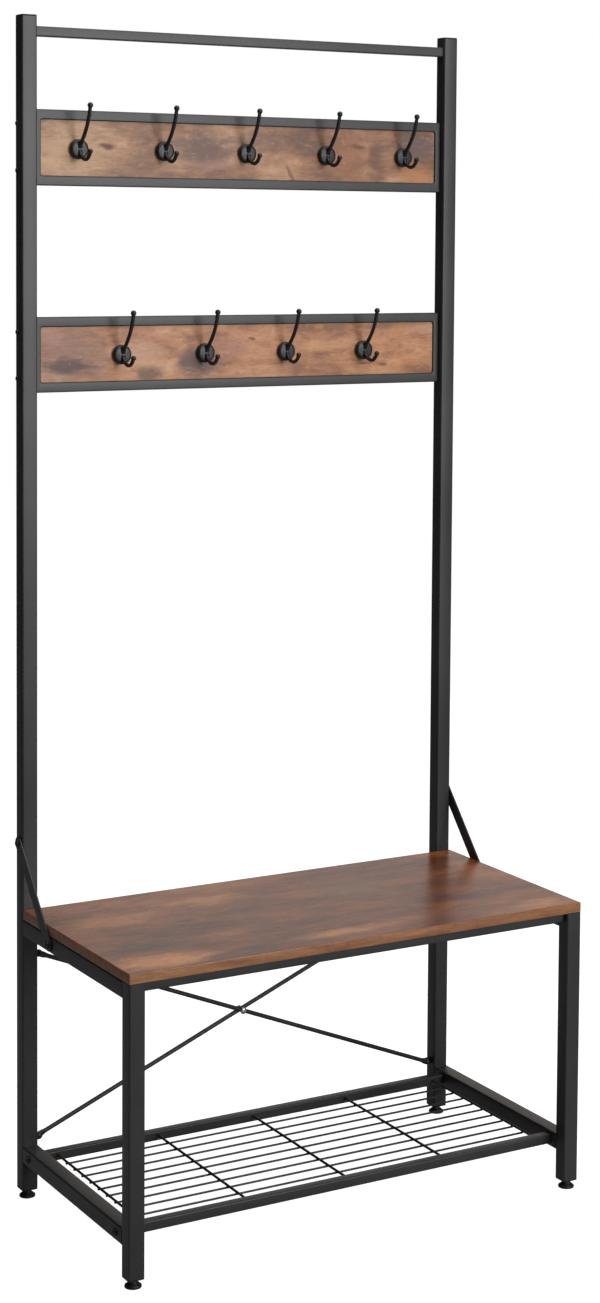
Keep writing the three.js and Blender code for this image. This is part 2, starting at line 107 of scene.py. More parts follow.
def new_piece(name, parts, finish, body="frame", stands_for=()):
    """One mesh object from grid parts: points closer than MERGE become one, and faces are shaded smooth
    except across corners sharper than SHARP_CORNER."""
    points = np.concatenate([part[0] for part in parts])
    starts = np.cumsum([0] + [len(part[0]) for part in parts])
    faces = [[corner + start for corner in face] for part, start in zip(parts, starts) for face in part[1]]
    mesh = bpy.data.meshes.new(name)
    mesh.from_pydata(points.tolist(), [], faces)
    work = bmesh.new()
    work.from_mesh(mesh)
    bmesh.ops.remove_doubles(work, verts=work.verts, dist=MERGE)
    work.to_mesh(mesh)
    work.free()
    mesh.shade_smooth()
    mesh.set_sharp_from_angle(angle=SHARP_CORNER)
    mesh.materials.append(finish)
    piece = bpy.data.objects.new(name, mesh)
    bpy.context.scene.collection.objects.link(piece)
    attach(piece, body)
    if stands_for:
        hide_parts(*stands_for)
    piece_sizes[name] = len(mesh.polygons)
    return piece


print("corners sharper than", round(math.degrees(SHARP_CORNER)), "degrees stay sharp")

# %% [markdown]
# ## Sections
# A section is a closed loop of points in a plane: a rectangle with round corners for tube and board, a
# circle for what is turned. Stacked along an axis, loops of growing or shrinking size give every rim and
# shoulder its soft edge, where a bevel modifier would give all edges one width.

# %% Shapes of sections
AXES = {"X": (1, 2, 0), "Y": (2, 0, 1), "Z": (0, 1, 2)}
POLE = 0.0001 * MM
LIP = 0.3 * MM
LEAST_CORNER = 0.4 * MM


def round_loop(wide, tall, radius, steps=6):
    """Points round a rectangle with round corners: four quarter circles, centred a radius in from
    both sides."""
    angle = np.arange(4)[:, None] * np.pi / 2 + np.linspace(0, np.pi / 2, steps + 1)
    across = np.array([1, -1, -1, 1])[:, None] * (wide / 2 - radius)
    up = np.array([1, 1, -1, -1])[:, None] * (tall / 2 - radius)
    return np.stack([across + radius * np.cos(angle), up + radius * np.sin(angle)], -1).reshape(-1, 2)


def circle(radius, sides):
    """Points round a circle: radius times the cosine and sine of the turn."""
    angle = np.arange(sides) * 2 * np.pi / sides
    return radius * np.stack([np.cos(angle), np.sin(angle)], -1)


def stations(loops, heights, axis="Z", centre=(0, 0, 0)):
    """Stacks section loops at heights along an axis: grid[i, k] is loop i's point k, lifted to height i."""
    first, second, along = AXES[axis]
    loops = np.asarray(loops)
    grid = np.empty(loops.shape[:2] + (3,))
    grid[..., first] = loops[..., 0] + centre[first]
    grid[..., second] = loops[..., 1] + centre[second]
    grid[..., along] = np.asarray(heights)[:, None] + centre[along]
    return grid


def ball_section(radius, offset):
    """Half width of a ball at an offset from its centre: the root of radius squared less offset squared,
    and a pole where the ball has ended."""
    return np.sqrt(np.clip(radius ** 2 - offset ** 2, POLE ** 2, None))


print("points round a rounded rectangle", len(round_loop(4, 3, 1)))


# %% Parts from sections
def tube_part(low, high, axis, wall, corner):
    """A square tube as one closed sheet: along the outside, in over the softened rim, back along the
    bore, and out over the other rim. Every loop is the outer one inset by a share of the wall."""
    first, second, along = AXES[axis]
    size = np.subtract(high, low)
    centre = np.add(high, low) / 2
    reach = size[along] / 2
    route = [(0, LIP - reach), (0, reach - LIP), (LIP, reach), (wall - LIP, reach), (wall, reach - LIP),
             (wall, LIP - reach), (wall - LIP, -reach), (LIP, -reach)]
    loops = [round_loop(size[first] - 2 * inset, size[second] - 2 * inset, max(corner - inset, LEAST_CORNER))
             for inset, _ in route]
    return grid_part(stations(loops, [height for _, height in route], axis, centre), wrap_along=True)


def slab_part(loop_of_inset, low, high, edge, axis="Z", centre=(0, 0, 0), steps=4):
    """A plate between two levels whose rims are quarter rounds: at turn t the loop is inset by
    edge * (1 - sin t) and the level is edge * (1 - cos t) from the face."""
    turn = np.linspace(0, np.pi / 2, steps + 1)
    inset = edge * (1 - np.sin(turn))
    drop = edge * (1 - np.cos(turn))
    insets = np.concatenate([inset, inset[::-1]])
    levels = np.concatenate([low + drop, high - drop[::-1]])
    return grid_part(stations([loop_of_inset(value) for value in insets], levels, axis, centre))


def turned_part(profile, sides, axis="Z", centre=(0, 0, 0)):
    """A turned piece: each (radius, height) of the profile becomes a circle of that radius."""
    radii, heights = np.array(profile).T
    return grid_part(stations([circle(max(radius, POLE), sides) for radius in radii], heights, axis, centre))


def swept_part(path, first, second, wide, thick=None, sides=12, square=1.0):
    """A rod along a path: at each point an ellipse of half sizes wide and thick in the two given
    directions. Raising cosine and sine to a power under 1 squares the ellipse off."""
    thick = wide if thick is None else thick
    first, second = np.broadcast_to(first, path.shape), np.broadcast_to(second, path.shape)
    turn = np.arange(sides) * 2 * np.pi / sides
    power = np.broadcast_to(square, len(path))[:, None]
    across = np.sign(np.cos(turn)) * np.abs(np.cos(turn)) ** power * np.asarray(wide)[:, None]
    over = np.sign(np.sin(turn)) * np.abs(np.sin(turn)) ** power * np.asarray(thick)[:, None]
    return grid_part(path[:, None] + across[..., None] * first[:, None] + over[..., None] * second[:, None])


print("a cone turned in 12 steps has", len(turned_part([(0, 0), (1, 0), (0, 1)], 12)[1]), "faces")

# %% [markdown]
# ## Camera
# The camera looks slightly down from the front left. A long lens keeps the uprights nearly parallel. The
# lens is shifted down, as on a view camera, so the camera itself needs only a slight tilt and the
# uprights hardly converge.

# %% Camera
YAW, PITCH, ROLL = (math.radians(angle) for angle in (-30.37, 3.80, 0.43))
EYE = (-1.829, -3.224, 1.4755)
LENS, SENSOR = 67.79, 36.0
SHIFT = (-0.0292, -0.1942)

camera = bpy.data.objects.new("camera", bpy.data.cameras.new("camera"))
camera.data.sensor_width = SENSOR
camera.data.lens = LENS
camera.data.shift_x, camera.data.shift_y = SHIFT
aim = (Matrix.Rotation(YAW, 3, "Z") @ Matrix.Rotation(math.pi / 2 - PITCH, 3, "X")
       @ Matrix.Rotation(ROLL, 3, "Z"))
camera.matrix_world = Matrix.Translation(EYE) @ aim.to_4x4()
bpy.context.scene.collection.objects.link(camera)
bpy.context.scene.camera = camera
bpy.context.scene.view_settings.view_transform = "Standard"
print("camera", [round(value, 3) for value in camera.matrix_world.translation])

# %% [markdown]
# ## Materials as nodes
# A finish is a small network: noise stands for what the paint or print does by chance, and each noise is
# mapped to a colour, a roughness or a height. Image textures would give a repeat and a fixed sharpness,
# so nothing here uses one. The helpers add a node, fill its sockets and name the four usual mappings.


# %% Nodes and colours
def linear(hex_code):
    """An sRGB hex colour as linear RGBA: each channel c becomes ((c + 0.055) / 1.055) ** 2.4, or
    c / 12.92 near black."""
    channels = [int(hex_code[i:i + 2], 16) / 255 for i in (0, 2, 4)]
    return [c / 12.92 if c <= 0.04045 else ((c + 0.055) / 1.055) ** 2.4 for c in channels] + [1.0]


def fill_sockets(tree, node, inputs):
    """Fills a node's sockets, by name or number, each with a value or with a link from another node's
    output."""
    for key, value in inputs.items():
        if isinstance(value, bpy.types.NodeSocket):
            tree.links.new(value, node.inputs[key])
        else:
            node.inputs[key].default_value = value


def add_node(tree, kind, settings=None, inputs=None):
    """Adds one node: settings are its own properties, inputs its sockets."""
    node = tree.nodes.new(kind)
    for key, value in (settings or {}).items():
        setattr(node, key, value)
    fill_sockets(tree, node, inputs or {})
    return node


def new_material(name):
    """An empty node material: returns it with its tree, the surface shader and the object coordinates."""
    material = bpy.data.materials.new(name)
    material.use_nodes = True
    tree = material.node_tree
    tree.nodes.clear()
    shader = add_node(tree, "ShaderNodeBsdfPrincipled")
    add_node(tree, "ShaderNodeOutputMaterial", inputs={"Surface": shader.outputs[0]})
    place = add_node(tree, "ShaderNodeTexCoord").outputs["Object"]
    return material, tree, shader, place


print("charcoal in linear light", [round(value, 4) for value in linear("262627")])


# %% The usual mappings
def noise(tree, place, cell, detail):
    """Noise whose cells are about cell metres wide: a scale of one over the cell."""
    inputs = {"Vector": place, "Scale": 1 / cell, "Detail": detail}
    return add_node(tree, "ShaderNodeTexNoise", inputs=inputs).outputs["Fac"]


def between(tree, share, low, high):
    """A value that runs from low to high as share runs from 0 to 1."""
    return add_node(tree, "ShaderNodeMapRange", inputs={0: share, 3: low, 4: high}).outputs[0]


def two_tones(tree, share, dark, light, start=0.0, end=1.0):
    """A colour that runs from dark to light as share runs from start to end."""
    ramp = add_node(tree, "ShaderNodeValToRGB", inputs={0: share})
    for element, tone, position in zip(ramp.color_ramp.elements, (dark, light), (start, end)):
        element.color = linear(tone)
        element.position = position
    return ramp.outputs["Color"]


def relief(tree, height, strength, depth):
    """A normal tilted by the slope of a height that runs from 0 to depth metres."""
    inputs = {"Strength": strength, "Distance": depth, "Height": height}
    return add_node(tree, "ShaderNodeBump", inputs=inputs).outputs[0]


print("mappings", [helper.__name__ for helper in (noise, between, two_tones, relief)])

# %% [markdown]
# ## Light and floor
# Dark steel is mostly seen by what it mirrors: it needs bright cards where it should read as grey, and
# dark directions where it should read as black. The world is dim to all but the camera, so the left sides
# of the posts stay dark. One card at the front right shows in the front faces. One behind at the right,
# slightly warm, shows in the bench top. A large one overhead lights the shelf and the boards. The floor
# glows white to the camera only: what the object gets from it is a faint grey.

# %% World
scene = bpy.context.scene
world = bpy.data.worlds.new("studio")
scene.world = world
world.use_nodes = True
sky = world.node_tree
sky.nodes.clear()
seen = add_node(sky, "ShaderNodeLightPath").outputs["Is Camera Ray"]
dim = add_node(sky, "ShaderNodeBackground", inputs={"Color": linear("ffffff"), "Strength": 0.02})
white = add_node(sky, "ShaderNodeBackground", inputs={"Color": linear("ffffff"), "Strength": 1.0})
both = add_node(sky, "ShaderNodeMixShader", inputs={0: seen, 1: dim.outputs[0], 2: white.outputs[0]})
add_node(sky, "ShaderNodeOutputWorld", inputs={"Surface": both.outputs[0]})
print("world", world.name, "dim", round(dim.inputs["Strength"].default_value, 3))


# %% Light cards
def card(name, place, target, size, power, tint="ffffff"):
    """A rectangular light card at a place, facing a target, hidden from the camera itself."""
    light = bpy.data.lights.new(name, "AREA")
    light.shape = "RECTANGLE"
    light.size, light.size_y = size
    light.energy = power
    light.color = linear(tint)[:3]
    holder = bpy.data.objects.new(name, light)
    facing = Vector(target) - Vector(place)
    holder.matrix_world = Matrix.Translation(place) @ facing.to_track_quat("-Z", "Y").to_matrix().to_4x4()
    holder.visible_camera = False
    scene.collection.objects.link(holder)


card("front_card", (1.1, -3.4, 1.8), (-0.2, 0.1, 1.2), (1.6, 2.2), 88)
card("back_card", (2.3, 3.2, 1.6), (0.2, 0.0, 0.6), (2.6, 2.6), 15.5, "fff5ee")
card("top_card", (0.0, -0.4, 3.6), (0.0, 0.0, 0.0), (3.0, 3.0), 70)

# %% Floor
FLOOR_REACH = 60.0

acrylic, tree, shader, place = new_material("backlit_white_acrylic")
eye = add_node(tree, "ShaderNodeLightPath").outputs["Is Camera Ray"]
fill_sockets(tree, shader, {
    "Base Color": linear("9a9a9a"),
    "Roughness": 0.9,
    "Emission Color": linear("ffffff"),
    "Emission Strength": between(tree, eye, 0.06, 1.0)})
floor_corners = FLOOR_REACH * np.array([(-1, -1, 0), (1, -1, 0), (1, 1, 0), (-1, 1, 0)])
floor_mesh = bpy.data.meshes.new("floor")
floor_mesh.from_pydata(floor_corners.tolist(), [], [(0, 1, 2, 3)])
floor_mesh.materials.append(acrylic)
floor = bpy.data.objects.new("floor", floor_mesh)
scene.collection.objects.link(floor)
print("floor", round(2 * FLOOR_REACH), "metres wide")

# %% [markdown]
# ## Powder-coated steel
# The tubes are mild steel, sprayed with charcoal polyester powder and baked. The film flows out into a
# faint orange peel, so the shine is satin with a soft grain, and edges stay rounded. The real peel is
# under a millimetre, too fine to show from across a room, so it is drawn at 2.5 mm.

# %% Powder coat
PEEL = 2.5 * MM
MOTTLE = 140 * MM

powder_coat, tree, shader, place = new_material("charcoal_polyester_powder_coat")
peel = noise(tree, place, PEEL, 2.0)
fill_sockets(tree, shader, {
    "Base Color": two_tones(tree, noise(tree, place, MOTTLE, 3.0), "262627", "323233", 0.35, 0.7),
    "Roughness": between(tree, peel, 0.36, 0.48),
    "Normal": relief(tree, peel, 0.6, 0.07 * MM),
    "IOR": 1.5})
print("powder coat nodes", len(tree.nodes))

# %% [markdown]
# ## Plastic, enamel and zinc
# Caps, inserts and feet are injection-moulded black polypropylene with a spark-eroded grain, so they are
# matt. The hooks are cast, then dipped in black enamel: blacker than the tubes, with the slow waves of
# the casting under the shine. The rivet where the rods cross keeps its bright zinc plate.

# %% Black polypropylene
GRAIN = 0.9 * MM

polypropylene, tree, shader, place = new_material("black_moulded_polypropylene")
grain = noise(tree, place, GRAIN, 3.0)
fill_sockets(tree, shader, {
    "Base Color": two_tones(tree, grain, "0b0b0c", "19191a"),
    "Roughness": 0.55,
    "Normal": relief(tree, grain, 0.5, 0.06 * MM),
    "IOR": 1.49})
print("plastic grain in mm", round(GRAIN / MM, 1))

# %% Black enamel
CAST_SKIN = 4 * MM

enamel, tree, shader, place = new_material("black_dipped_enamel_on_cast_iron")
cast = noise(tree, place, CAST_SKIN, 2.0)
fill_sockets(tree, shader, {
    "Base Color": linear("101011"),
    "Roughness": between(tree, cast, 0.34, 0.5),
    "Normal": relief(tree, cast, 0.4, 0.15 * MM),
    "IOR": 1.52})
print("enamel over a cast skin of", round(CAST_SKIN / MM, 1), "mm")

# %% Zinc plate
WIPE = 1.5 * MM

zinc, tree, shader, place = new_material("bright_zinc_plate_on_steel")
fill_sockets(tree, shader, {
    "Base Color": linear("c9cbcd"),
    "Roughness": between(tree, noise(tree, place, WIPE, 3.0), 0.22, 0.4),
    "Metallic": 1.0})
print("plain finishes", [item.name for item in bpy.data.materials])

# %% [markdown]
# ## Rustic board decor
# The boards are particle board with a printed melamine face. The print copies old oiled softwood: blotchy
# tan and orange patches, long fibres along the board, and stains where knots, damp and wear have darkened
# it. It could be an image, but layers of noise have no edge, no repeat and any sharpness. The patches and
# fibres are noise squeezed across the grain. The stains are soft ovals at chosen places, torn at the rim
# by the same noise, because a print puts each of its knots and clouds at one place.


# %% Decor material
DRIFT = 62.5 * MM
BEND = (60 * MM, 16 * MM, 16 * MM)
FIBRE_WIDE, FIBRE_LONG = 2.4 * MM, 60 * MM
PORE_WIDE, PORE_LONG, PORE_TONE = 1.1 * MM, 16 * MM, "3a271f"


def decor(name, tones, offset, patch, stretch, dark, fibre_share, rough, stains=()):
    """Melamine decor with its grain along X. tones colour the patches from dark to light; a patch is patch
    metres wide and stretch times as long. stains are (centre, half size, tone, strength) in millimetres:
    d = |place - centre| / half size, and the tone fades in from about d = 1.25 to d = 0.35. All places
    are first bent by up to half of BEND, by a noise of cell DRIFT, so no fibre runs straight."""
    material, tree, shader, place = new_material(name)
    drift = add_node(tree, "ShaderNodeTexNoise", inputs={"Vector": place, "Scale": 1 / DRIFT, "Detail": 4.0})
    sway = add_node(tree, "ShaderNodeVectorMath", {"operation": "SUBTRACT"},
                    {0: drift.outputs["Color"], 1: (0.5, 0.5, 0.5)})
    bent = add_node(tree, "ShaderNodeVectorMath", {"operation": "MULTIPLY_ADD"},
                    {0: sway.outputs[0], 1: BEND, 2: place}).outputs[0]

    def layer(across, along, detail, roughness, shift=0.0):
        """Noise whose cells are across metres wide and along metres long in the grain direction."""
        squeezed = add_node(tree, "ShaderNodeMapping", inputs={
            "Vector": bent, "Location": tuple(value + shift for value in offset),
            "Scale": (1 / along, 1 / across, 1 / across)})
        inputs = {"Vector": squeezed.outputs[0], "Scale": 1.0, "Detail": detail, "Roughness": roughness}
        return add_node(tree, "ShaderNodeTexNoise", inputs=inputs).outputs["Fac"]

    def ranged(value, start, end, low, high):
        """A value eased from low at start to high at end."""
        return add_node(tree, "ShaderNodeMapRange", {"interpolation_type": "SMOOTHSTEP"},
                        {0: value, 1: start, 2: end, 3: low, 4: high}).outputs[0]

    def product(first, second):
        """Two shares multiplied."""
        return add_node(tree, "ShaderNodeMath", {"operation": "MULTIPLY"}, {0: first, 1: second}).outputs[0]

    def over(base, tone, share):
        """Lays a colour over the print where share is high."""
        return add_node(tree, "ShaderNodeMix", {"data_type": "RGBA"},
                        {0: share, 6: base, 7: linear(tone)}).outputs[2]

    patches = add_node(tree, "ShaderNodeValToRGB", inputs={0: layer(patch, stretch * patch, 6.0, 0.62)})
    ramp = patches.color_ramp
    while len(ramp.elements) < len(tones):
        ramp.elements.new(0.5)
    for index, (element, tone) in enumerate(zip(ramp.elements, tones)):
        element.position = 0.34 + 0.32 * index / (len(tones) - 1)
        element.color = linear(tone)
    colour = patches.outputs["Color"]

    torn = layer(0.3 * patch, 0.9 * patch, 6.0, 0.7, 3.7)
    for centre, half, tone, strength in stains:
        offset_place = add_node(tree, "ShaderNodeMapping", {"vector_type": "TEXTURE"}, {
            "Vector": bent, "Location": tuple(value * MM for value in centre),
            "Scale": tuple(value * MM for value in half)})
        reach = add_node(tree, "ShaderNodeVectorMath", {"operation": "LENGTH"}, {0: offset_place.outputs[0]})
        ragged = add_node(tree, "ShaderNodeMath", {"operation": "MULTIPLY_ADD"},
                          {0: torn, 1: 1.5, 2: reach.outputs["Value"]})
        colour = over(colour, tone, ranged(ragged.outputs[0], 2.0, 1.1, 0.0, strength))

    blotches = layer(0.22 * patch, 0.5 * patch, 5.0, 0.65, 6.1)
    colour = over(colour, dark, ranged(blotches, 0.52, 0.74, 0.0, 0.4))
    colour = over(colour, tones[-1], ranged(blotches, 0.44, 0.28, 0.0, 0.4))
    zones = ranged(layer(1.5 * patch, 3 * patch, 2.0, 0.5, 8.3), 0.35, 0.62, 0.25, 1.0)
    fibres = layer(FIBRE_WIDE, FIBRE_LONG, 5.0, 0.7, 1.3)
    colour = over(colour, dark, product(ranged(fibres, 0.46, 0.72, 0.0, fibre_share), zones))
    pores = layer(PORE_WIDE, PORE_LONG, 3.0, 0.6, 5.1)
    colour = over(colour, PORE_TONE, product(ranged(pores, 0.6, 0.74, 0.0, 0.55), zones))

    press = add_node(tree, "ShaderNodeBump", {"invert": True}, {
        "Strength": 0.25, "Distance": 0.08 * MM, "Height": fibres})
    fill_sockets(tree, shader, {"Base Color": colour, "Normal": press.outputs[0], "IOR": 1.5,
                                "Roughness": ranged(fibres, 0.3, 0.75, rough, rough + 0.1)})
    return material


print("fibres", round(FIBRE_LONG / FIBRE_WIDE), "times as long as wide, pores", round(PORE_LONG / PORE_WIDE))

# %% Upper board finish
FAR = 900
PATCH, PATCH_STRETCH = 34 * MM, 2.6
upper_decor = decor(
    "tan_rustic_fir_melamine", ["694632", "85593c", "996b4a", "aa7d5a", "c09470"], (0.31, 0.0, 0.12),
    PATCH, PATCH_STRETCH, "6b4a3a", 0.4, 0.42, [
        ((-300, 0, 1600), (80, FAR, 60), "c39a74", 0.8), ((-241, 0, 1606), (15, FAR, 6), "5a1c08", 1.0),
        ((-75, 0, 1608), (66, FAR, 34), "65463a", 0.95), ((-176, 0, 1590), (24, FAR, 32), "7a523a", 0.7),
        ((-60, 0, 1585), (50, FAR, 9), "a8786a", 0.6), ((10, 0, 1622), (44, FAR, 18), "6c4b3e", 0.7),
        ((180, 0, 1600), (48, FAR, 42), "98603c", 0.7), ((86, 0, 1572), (6, FAR, 14), "6a3a1c", 0.8),
        ((246, 0, 1600), (17, FAR, 40), "6b4230", 0.9), ((310, 0, 1620), (52, FAR, 26), "634a48", 0.95),
        ((204, 0, 1618), (16, FAR, 5), "6a3820", 0.85), ((318, 0, 1572), (40, FAR, 16), "b9784c", 0.85)])
print("upper board", upper_decor.name)

# %% Lower board finish
lower_decor = decor(
    "brown_rustic_fir_melamine", ["8c5a3e", "a8724c", "bb8158", "c58e65", "cd9d78"], (1.7, 0.0, 0.4),
    PATCH, PATCH_STRETCH, "6e4634", 0.45, 0.42, [
        ((-306, 0, 1290), (66, FAR, 60), "936a5b", 0.85), ((-302, 0, 1274), (46, FAR, 15), "4f3835", 0.95),
        ((-330, 0, 1320), (30, FAR, 14), "b08270", 0.7), ((-165, 0, 1262), (32, FAR, 14), "664a34", 0.85),
        ((-85, 0, 1276), (42, FAR, 26), "5a4241", 0.95), ((-30, 0, 1300), (32, FAR, 20), "a06c58", 0.7),
        ((-200, 0, 1296), (58, FAR, 22), "c8987a", 0.8), ((12, 0, 1312), (9, FAR, 3), "6a3d2a", 0.9),
        ((226, 0, 1268), (11, FAR, 3), "6a3d2a", 0.9), ((256, 0, 1268), (8, FAR, 3), "6a3d2a", 0.8),
        ((150, 0, 1300), (60, FAR, 12), "cd9668", 0.7), ((330, 0, 1322), (28, FAR, 12), "c2957c", 0.6),
        ((250, 0, 1330), (50, FAR, 6), "7c5443", 0.6)])
print("lower board", lower_decor.name)

# %% Bench finishes
bench_decor = decor(
    "oiled_rustic_fir_melamine", ["4a2310", "5f2f16", "713b1c", "834823", "985c32"], (0.2, 0.9, 0.0),
    55 * MM, 3.0, "46301f", 0.45, 0.26, [
        ((-131, 90, 0), (80, 30, FAR), "b07240", 1.0), ((-300, 55, 0), (90, 42, FAR), "a66a38", 0.95),
        ((-330, 140, 0), (50, 25, FAR), "8c5546", 0.8), ((-190, 7, 0), (22, 10, FAR), "2e1810", 0.95),
        ((-78, 20, 0), (42, 14, FAR), "39241a", 0.9), ((-298, -87, 0), (62, 36, FAR), "3a281a", 0.9),
        ((-104, -67, 0), (46, 48, FAR), "5a3220", 0.8), ((-311, -163, 0), (86, 36, FAR), "cf8850", 1.0),
        ((-164, -166, 0), (40, 10, FAR), "2f1d18", 0.9), ((-18, -160, 0), (88, 20, FAR), "b87848", 0.95),
        ((329, -172, 0), (76, 26, FAR), "b8784a", 0.95), ((350, 50, 0), (32, 72, FAR), "a0603f", 0.9),
        ((110, 40, 0), (80, 70, FAR), "6a4c36", 0.7), ((0, 187, 0), (330, 13, FAR), "4a3222", 0.8)])
edge_decor = decor(
    "fir_edge_band_melamine", ["7a4e34", "8f5f40", "9f6c48", "ab7a54"], (0.6, 0.1, 0.0),
    12 * MM, 9.0, "5d3d2a", 0.5, 0.35)
print("bench", bench_decor.name, "and its band", edge_decor.name)

# %% [markdown]
# ## Square tubes
# Posts, legs and rails are cold-rolled tube: flat faces, corners rolled to a radius, and cut ends that
# the powder coat softens. Each takes its place and length from its CAD node. A post's node also holds its
# two lugs, so the post itself is as wide in X as it is deep in Y, measured from its outer side. The thick
# tube makes posts, legs and side rails; the thin one makes the cross rails.

# %% Posts, legs and rails
POST_WALL, POST_CORNER = 1.2 * MM, 2.6 * MM
BAR_WALL, BAR_CORNER = 1.0 * MM, 1.9 * MM
post_boxes = {}


def coated(name, parts, *nodes):
    """A powder-coated piece that stands for the given CAD nodes."""
    new_piece(name, parts, powder_coat, stands_for=nodes)


for side, sign in SIDES:
    low, high = (np.array(corner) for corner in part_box(f"{side}_rear_post"))
    width = high[1] - low[1]
    low[0], high[0] = (low[0], low[0] + width) if sign < 0 else (high[0] - width, high[0])
    post_boxes[side] = (low, high)
    coated(f"{side}_post_tube", [tube_part(low, high, "Z", POST_WALL, POST_CORNER)], f"{side}_rear_post")
    leg = tube_part(*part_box(f"{side}_front_leg"), "Z", POST_WALL, POST_CORNER)
    coated(f"{side}_leg_tube", [leg], f"{side}_front_leg")
    for level in ("seat", "shelf"):
        rail = tube_part(*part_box(f"{level}_{side}_rail"), "Y", POST_WALL, POST_CORNER)
        coated(f"{level}_{side}_rail_tube", [rail], f"{level}_{side}_rail")
for name in ("seat_front_rail", "seat_rear_rail", "shelf_front_rail", "shelf_rear_rail", "top_rail"):
    coated(f"{name}_tube", [tube_part(*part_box(name), "X", BAR_WALL, BAR_CORNER)], name)
print("posts", {side: [np.round(corner, 4).tolist() for corner in box] for side, box in post_boxes.items()})

# %% [markdown]
# ## Welds
# The side rails and the seat's front rail are welded between the legs and posts, and the top rail
# between the posts. On the flush outer faces the beads are ground off; inside and underneath they stay.
# A bead could be a rough bump in the coat, but it would vanish in outline, so each is a rippled rod.

# %% Weld beads
BEAD, RIPPLE, RIPPLE_SHARE = 1.1 * MM, 2.6 * MM, 0.14
SKEW = [0.3, 0.5, 0.81]


def weld(start, end):
    """A weld bead between two points: a rod whose radius swells once per ripple and dies away at its
    ends as the fourth root of the distance from them. SKEW, a direction that no bead runs in, gives the
    section its first axis."""
    start, end = np.array(start, float), np.array(end, float)
    length = np.linalg.norm(end - start)
    share = np.linspace(0, 1, max(12, int(6 * length / RIPPLE)))
    along = (end - start) / length
    first = np.cross(along, SKEW)
    first /= np.linalg.norm(first)
    fade = np.clip(4 * share * (1 - share), 0, 1) ** 0.25
    swell = BEAD * (1 + RIPPLE_SHARE * np.sin(2 * np.pi * share * length / RIPPLE)) * fade
    path = start + share[:, None] * (end - start)
    return swept_part(path, first, np.cross(along, first), np.maximum(swell, POLE), sides=8)


beads = []
for side, sign in SIDES:
    for level in ("seat", "shelf"):
        low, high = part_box(f"{level}_{side}_rail")
        inner = low.x if sign > 0 else high.x
        left, right = low.x + POST_CORNER, high.x - POST_CORNER
        for y in (low.y, high.y):
            beads.append(weld((inner, y, low.z + POST_CORNER), (inner, y, high.z - POST_CORNER)))
            beads.append(weld((left, y, low.z), (right, y, low.z)))
            if level == "shelf":
                beads.append(weld((left, y, high.z), (right, y, high.z)))
for name in ("seat_front_rail", "top_rail"):
    low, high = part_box(name)
    for x in (low.x, high.x):
        beads.append(weld((x, low.y + BAR_CORNER, low.z), (x, high.y - BAR_CORNER, low.z)))
        beads.append(weld((x, high.y, low.z + BAR_CORNER), (x, high.y, high.z - BAR_CORNER)))
coated("frame_welds", beads)
print("weld beads", len(beads))

# %% [markdown]
# ## Hook panels
# A panel frame is one length of square tube, mitred and welded into a rectangle. Its surface is the tube's
# section carried round a rounded rectangle: a point of the section that lies d inside the outer edge
# walks a rectangle smaller by d all round. The end bars are narrower, so d is scaled down across them.

# %% Panel frames and boards
PANEL_TUBE, PANEL_END = 15 * MM, 10 * MM
OUTER_CORNER, INNER_CORNER = 1.6 * MM, 4.0 * MM
BOARD_GAP = 0.3 * MM
BOARD_ARRIS = 0.4 * MM


def framed_ring(low, high):
    """The section's point (d, y) at every place round the panel: half width W - d * end / tube,
    half height H - d, and a corner radius that grows from the outer to the inner one with d."""
    section = round_loop(PANEL_TUBE, PANEL_TUBE, BAR_CORNER) + PANEL_TUBE / 2
    middle = (low + high) / 2
    grid = []
    for depth, back in section:
        share = depth / PANEL_TUBE
        loop = round_loop(high.x - low.x - 2 * share * PANEL_END, high.z - low.z - 2 * depth,
                          OUTER_CORNER + share * (INNER_CORNER - OUTER_CORNER))
        grid.append(np.stack([middle.x + loop[:, 0], np.full(len(loop), high.y - back),
                              middle.z + loop[:, 1]], -1))
    return grid_part(np.array(grid), wrap_along=True)


for panel, wood in (("upper", upper_decor), ("lower", lower_decor)):
    coated(f"{panel}_panel_tube", [framed_ring(*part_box(f"{panel}_panel_frame"))], f"{panel}_panel_frame")
    low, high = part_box(f"{panel}_board")
    size, middle = high - low, (high + low) / 2

    def board_loop(inset, size=size):
        """The board's outline in Z and X, grown by its gap in the frame and inset on all sides."""
        grown = 2 * (BOARD_GAP - inset)
        return round_loop(size.z + grown, size.x + grown, INNER_CORNER - inset)

    slab = slab_part(board_loop, low.y, high.y, BOARD_ARRIS, "Y", (middle.x, 0, middle.z))
    new_piece(f"{panel}_decor_board", [slab], wood, stands_for=[f"{panel}_board"])

# %% [markdown]
# ## Bench board
# The seat is a melamine board with an edge band. The band is a strip of the same decor family in a paler
# tone, glued on and scraped, so the arris is a small round. The board could be two meshes, but one with
# two materials has no seam: faces that look sideways get the band.

# %% Bench board
ARRIS, BENCH_CORNER = 1.2 * MM, 2.0 * MM
SIDEWAYS = 0.75
low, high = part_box("seat_board")
size, middle = high - low, (high + low) / 2


def seat_loop(inset):
    """The seat's outline, inset on all sides."""
    return round_loop(size.x - 2 * inset, size.y - 2 * inset, BENCH_CORNER - inset)


slab = slab_part(seat_loop, low.z, high.z, ARRIS, "Z", (middle.x, middle.y, 0))
bench = new_piece("bench_decor_board", [slab], bench_decor, stands_for=["seat_board"])
bench.data.materials.append(edge_decor)
normals = np.empty(len(bench.data.polygons) * 3)
bench.data.polygons.foreach_get("normal", normals)
banded = (np.abs(normals.reshape(-1, 3)[:, 2]) < SIDEWAYS).astype(np.int32)
bench.data.polygons.foreach_set("material_index", banded)
print("banded faces", int(banded.sum()), "of", len(banded))

